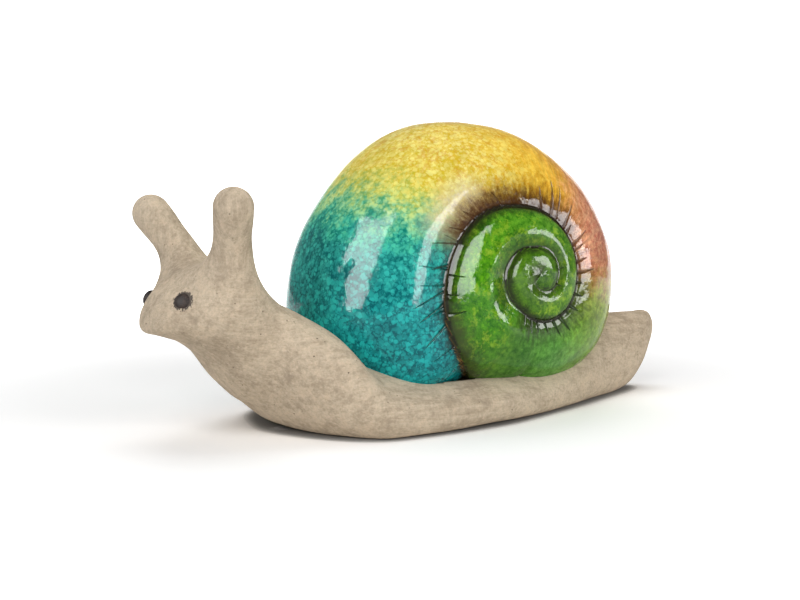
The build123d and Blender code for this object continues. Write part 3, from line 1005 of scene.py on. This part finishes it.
def glaze_material():
    """Glossy crackled glaze: bands of colour round the coil, cells, stain in the suture, brown stain and
    painted shade beside it, a painted sheen on the pale cream, and cut strokes.
    """
    material, bench, place = new_material("crackle glaze")
    turn, inner, outer, seam, reach = [
        bench.add("ShaderNodeAttribute", attribute_name=name).outputs["Fac"]
        for name in ("turn", "inner", "outer", "seam", "reach")
    ]
    drift = mottled(bench, place, 6.0, 2.4)
    shifted = bench.total(turn, bench.span(drift, 0, 1, -5, 5))
    net = band_ramp(bench, shifted, 1)
    dots = band_ramp(bench, shifted, 2)

    clouds = mottled(bench, place, 12.0, 2.4)
    fine = mottled(bench, place, 2.2, 2.6)
    large = bench.group(crackle, place=place, size=1.75)[0]
    small = bench.group(crackle, place=bench.stretched(place, 1.0, 1.1, 0.9), size=1.0)[0]
    pebbled = bench.maths("MAXIMUM", large, bench.product(small, 0.7))
    painted = bench.span(fine, 0.15, 0.9, 0, 0.9)
    celled = bench.weighted(*[
        (between(bench, turn, start, end, 14), part)
        for start, end, part in ((-120, 150, 1.0), (150, 245, 0.25), (245, 360, 0.4), (360, 900, 0.5))
    ])
    share = bench.total(
        bench.product(pebbled, celled),
        bench.product(painted, bench.maths("SUBTRACT", 1.0, celled)),
        bench.span(clouds, 0, 1, -0.16, 0.26),
    )
    colour = bench.mix(bench.clamp(share), net, dots)
    colour = bench.shade(colour, bench.span(clouds, 0, 1, 0.90, 1.08))

    flecks = mottled(bench, place, 4.0, 2.6)
    lime = bench.product(bench.span(flecks, 0.48, 0.85), between(bench, turn, 356, 700, 12), 0.6)
    colour = bench.mix(lime, colour, bench.mix(fine, paint(96, 156, 6), paint(176, 204, 60)))
    amber = bench.product(bench.span(flecks, 0.5, 0.85), between(bench, turn, 92, 176, 12), 0.5)
    colour = bench.mix(amber, colour, paint(214, 148, 28))
    # Pale cream glaze where the teal turns to yellow, made whiter with a painted sheen.
    cream_and_sheen = between(bench, turn, 72, 104, 8)
    cream_and_sheen = bench.product(cream_and_sheen, bench.span(inner, 9, 20, 1, 0), bench.span(fine, 0.1, 0.8, 0.9, 0.5))
    colour = bench.mix(cream_and_sheen, colour, paint(230, 224, 188))

    polar = bench.add("ShaderNodeCombineXYZ", {
        0: bench.product(turn, 0.35), 1: bench.product(reach, 0.12), 2: 0.0,
    }).outputs[0]
    streak = bench.noise(polar, 1.0, 3.0, 0.6)["Fac"]
    streaked = bench.product(between(bench, turn, 150, 345, 20), bench.span(streak, 0.35, 0.7, -0.16, 0.16))
    colour = bench.shade(colour, bench.total(1.0, streaked))

    # Brown stain and painted shade beside the suture: from which side, how near and how far, where, how
    # strong, what colour.
    ragged = bench.total(bench.product(fine, 3.6), bench.product(streak, 8.0), -5.8)
    from_inside = bench.total(inner, ragged)
    from_outside = bench.total(outer, bench.product(ragged, 0.6))
    on_yellow = between(bench, turn, 70, 200, 12)
    on_pink = between(bench, turn, 200, 236, 14)
    on_coil = bench.product(between(bench, turn, 372, 900, 12), 0.7)
    on_green = bench.total(between(bench, turn, 236, 352, 12), on_coil)
    on_teal = between(bench, turn, -90, 66, 12)
    on_coil_start = between(bench, turn, 352, 392, 14)
    for distance, near, far, where, strength, tint in (
        # Brown stain on the yellow; the darker brown nearest the suture is stain deepened with painted
        # shade.
        (from_inside, 1.0, 15.0, on_yellow, 0.8, (142, 88, 20)),
        (from_inside, 1.0, 10.0, on_yellow, 0.95, (66, 34, 10)),
        # Painted shade beside the suture on the pink, green and teal, outside every suture, and at the
        # coil's start.
        (from_inside, 0.5, 7.0, on_pink, 0.85, (84, 52, 28)),
        (from_inside, 1.0, 12.0, on_green, 0.85, (46, 56, 12)),
        (from_inside, 0.5, 5.0, on_teal, 0.8, (12, 50, 46)),
        (from_outside, 0.8, 7.0, 1.0, 0.86, (34, 44, 8)),
        (from_outside, 1.0, 15.0, on_coil_start, bench.span(clouds, 0, 1, 0.5, 0.9), (66, 78, 38)),
    ):
        wash_and_shade = bench.product(bench.span(distance, near, far, 1, 0), where, strength)
        colour = bench.mix(wash_and_shade, colour, paint(*tint))

    # Cut strokes: from which side, first and last turn, step, lean, width, longest, how strong.
    cut = 0.0
    for distance, first, last, step, lean, width, longest, strength in (
        (inner, 20, 348, 10.5, 0.35, 2.4, bench.span(turn, 170, 300, 14, 8), 1.0),
        (outer, 388, 446, 10.0, 0.2, 1.8, 9.0, 1.0),
        (inner, 556, 640, 17.0, 0.3, 1.5, 10.0, 1.0),
        (inner, -30, 78, 13.0, -0.12, 1.5, 13.0, 0.6),
    ):
        lines = bench.group(
            strokes, turn=turn, distance=distance, reach=reach, step=step, lean=lean, width=width,
            longest=longest,
        )[0]
        lines = bench.product(lines, between(bench, turn, first, last, 4), strength)
        cut = bench.maths("MAXIMUM", cut, lines)
    cut = bench.span(cut, 0, 1)
    cut_colour = bench.mix(between(bench, turn, 66, 236, 14), paint(20, 40, 16), paint(84, 48, 16))
    colour = bench.mix(bench.product(cut, 0.75), colour, cut_colour)

    stain = bench.span(bench.total(seam, bench.product(fine, -0.8)), 0.1, 1.3, 1, 0)
    stain = bench.product(stain, bench.span(turn, 600, 720, 0.95, 0.35))
    colour = bench.mix(stain, colour, paint(30, 26, 14))

    ripple = bench.noise(place, 1 / 2.6, 2.0)["Fac"]
    swell = bench.noise(place, 1 / 9.0, 1.0)["Fac"]
    height = bench.weighted((ripple, 0.06), (swell, 0.40), (pebbled, celled, 0.022), (cut, -0.5))
    facing = bench.add("ShaderNodeLayerWeight", {"Blend": 0.5}).outputs["Facing"]
    gloss = bench.span(facing, 0.4, 0.95, 0.28, 0.08)
    finish_material(bench, height, colour, 0.04, {"IOR": 1.41, "Specular IOR Level": gloss})
    return material


def eye_material():
    """Brown-black stain on clay: satin, a little paler where it is thin."""
    material, bench, place = new_material("eye stain")
    thin = mottled(bench, place, 2.2, 2.4)
    grain = mottled(bench, place, 0.5, 2.0)
    colour = bench.mix(bench.span(thin, 0.3, 0.8), paint(34, 25, 22), paint(60, 47, 41))
    colour = bench.shade(colour, bench.span(grain, 0, 1, 0.85, 1.15))
    height = bench.weighted((grain, 0.05), (thin, 0.12))
    roughness = bench.span(thin, 0, 1, 0.55, 0.72)
    finish_material(bench, height, colour, roughness, {"Specular IOR Level": 0.15})
    return material


def dress(piece, material, node):
    """One material on the piece, the piece hung on the root, and the CAD part it stands for hidden."""
    piece.data.materials.clear()
    piece.data.materials.append(material)
    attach(piece, "root")
    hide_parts(node)


clay = clay_material()
dress(make_body(), clay, "body")
dress(make_shell(), glaze_material(), "shell")
for node_name in tentacle_axes:
    dress(make_tentacle(node_name), clay, node_name)
stain_finish = eye_material()
for node_name in eye_seats:
    dress(make_eye(node_name), stain_finish, node_name)

# The camera stands left of the head and a little above it.
camera_azimuth = -35.0
camera_pitch = 5.5
camera_place = (-326.96, -447.02, 97.54)
camera_lens = 63.0

camera = placed("camera", bpy.data.cameras.new("camera"))
camera.location = Vector(camera_place) * MM
camera.rotation_euler = (radians(90 - camera_pitch), 0, radians(camera_azimuth))
camera.data.lens = camera_lens
camera.data.sensor_width = 36.0
bpy.context.scene.camera = camera

lamp_target = Vector((0.01, 0.0, 0.06))


def softbox(name, azimuth, elevation, distance, width, height, radiance):
    """A soft lamp that looks at the snail from an azimuth (0 is its left side, -Y) and an elevation."""
    lamp = bpy.data.lights.new(name, "AREA")
    lamp.shape = "RECTANGLE"
    lamp.size = width
    lamp.size_y = height
    lamp.energy = radiance * pi * width * height
    holder = placed(name, lamp)
    turn = radians(azimuth)
    lift = radians(elevation)
    away = Vector((sin(turn) * cos(lift), -cos(turn) * cos(lift), sin(lift)))
    holder.location = lamp_target + away * distance
    holder.rotation_euler = (-away).to_track_quat("-Z", "Y").to_euler()
    return holder


# The large lamps give the plain light. The cards are what the gloss shows.
for lamp in (
    softbox("front lamp", -62.0, 34.0, 1.5, 1.0, 1.0, 3.0),
    softbox("side lamp", 14.0, 22.0, 1.5, 0.9, 0.9, 3.3),
    softbox("top lamp", 150.0, 68.0, 1.4, 0.9, 0.9, 2.45),
):
    lamp.visible_glossy = False
    lamp.visible_camera = False
for card in (
    softbox("left card", -75.0, 24.0, 1.2, 0.85, 1.22, 18.5),
    softbox("middle card", 2.0, 11.5, 0.55, 0.27, 0.33, 18.5),
    softbox("right card", 45.0, 3.0, 0.42, 0.085, 0.09, 17.0),
):
    card.visible_diffuse = False
    card.visible_camera = False

world_fill = 0.28
world = bpy.data.worlds.new("studio")
bpy.context.scene.world = world
world.use_nodes = True
world.node_tree.nodes["Background"].inputs["Color"].default_value = (1, 1, 1, 1)
world.node_tree.nodes["Background"].inputs["Strength"].default_value = world_fill

# The paper sweep lies square to the camera: flat under the snail, then curved up behind it.
sweep_half_width = 0.9
paper_matt = 0.93
paper_matt_seen = 1.2
# How far the painted contact shadow under the foot reaches, in metres.
contact_shadow_reach = 0.007
sweep_profile = [
    (-0.42, 0.0), (-0.2, 0.0), (0.0, 0.0), (0.3, 0.0), (0.7, 0.0), (1.1, 0.0), (1.3, 0.02),
    (1.5, 0.09), (1.65, 0.2), (1.75, 0.34), (1.8, 0.52),
]


def make_floor():
    """A profile of distance and height away from the camera, carried straight across its view."""
    profile = np.array(sweep_profile)
    across = np.linspace(-sweep_half_width, sweep_half_width, 25)
    turn = radians(camera_azimuth)
    right = np.array([cos(turn), sin(turn), 0])
    away = np.array([-sin(turn), cos(turn), 0])
    points = profile[:, :1, None] * away + profile[:, 1:, None] * [0, 0, 1] + across[None, :, None] * right
    rows, columns, _ = points.shape
    faces = grid_faces(rows, columns, columns - 1)
    return mesh_object("floor", points.reshape(-1, 3), faces.tolist())


def floor_material():
    """Pale matt paper, white where the camera and gloss see it, with the snail's shadow on it.

    It glows far from the snail, and has a painted contact shadow close under the foot, only as the camera
    and gloss see it.
    """
    material, bench, place = new_material("studio floor")
    rays = bench.add("ShaderNodeLightPath").outputs
    seen = bench.maths("MINIMUM", 1.0, bench.total(
        rays["Is Camera Ray"], rays["Is Glossy Ray"], rays["Is Transmission Ray"]
    ))
    distance = bench.add("ShaderNodeVectorMath", {0: place}, operation="LENGTH").outputs["Value"]
    glow = bench.product(bench.span(distance, 150, 550), seen)
    # Painted contact shadow: the paper's colour is darkened by ambient occlusion close under the foot.
    near = bench.add("ShaderNodeAmbientOcclusion", {"Distance": contact_shadow_reach}, samples=12).outputs["AO"]
    painted_contact_shadow = bench.span(near, 0.3, 0.9, 0.22, 1.0)
    seen_matt = bench.shade((paper_matt_seen,) * 3, painted_contact_shadow)
    matt = bench.mix(seen, (paper_matt, paper_matt, paper_matt, 1), seen_matt)
    lit = bench.add("ShaderNodeBsdfDiffuse", {"Color": matt})
    plain = bench.add("ShaderNodeEmission", {"Color": (1, 1, 1, 1), "Strength": glow})
    both = bench.add("ShaderNodeAddShader", {0: lit.outputs[0], 1: plain.outputs[0]})
    bench.add("ShaderNodeOutputMaterial", {"Surface": both.outputs[0]})
    return material


floor = make_floor()
floor.data.materials.append(floor_material())

bpy.context.scene.view_settings.view_transform = "Standard"
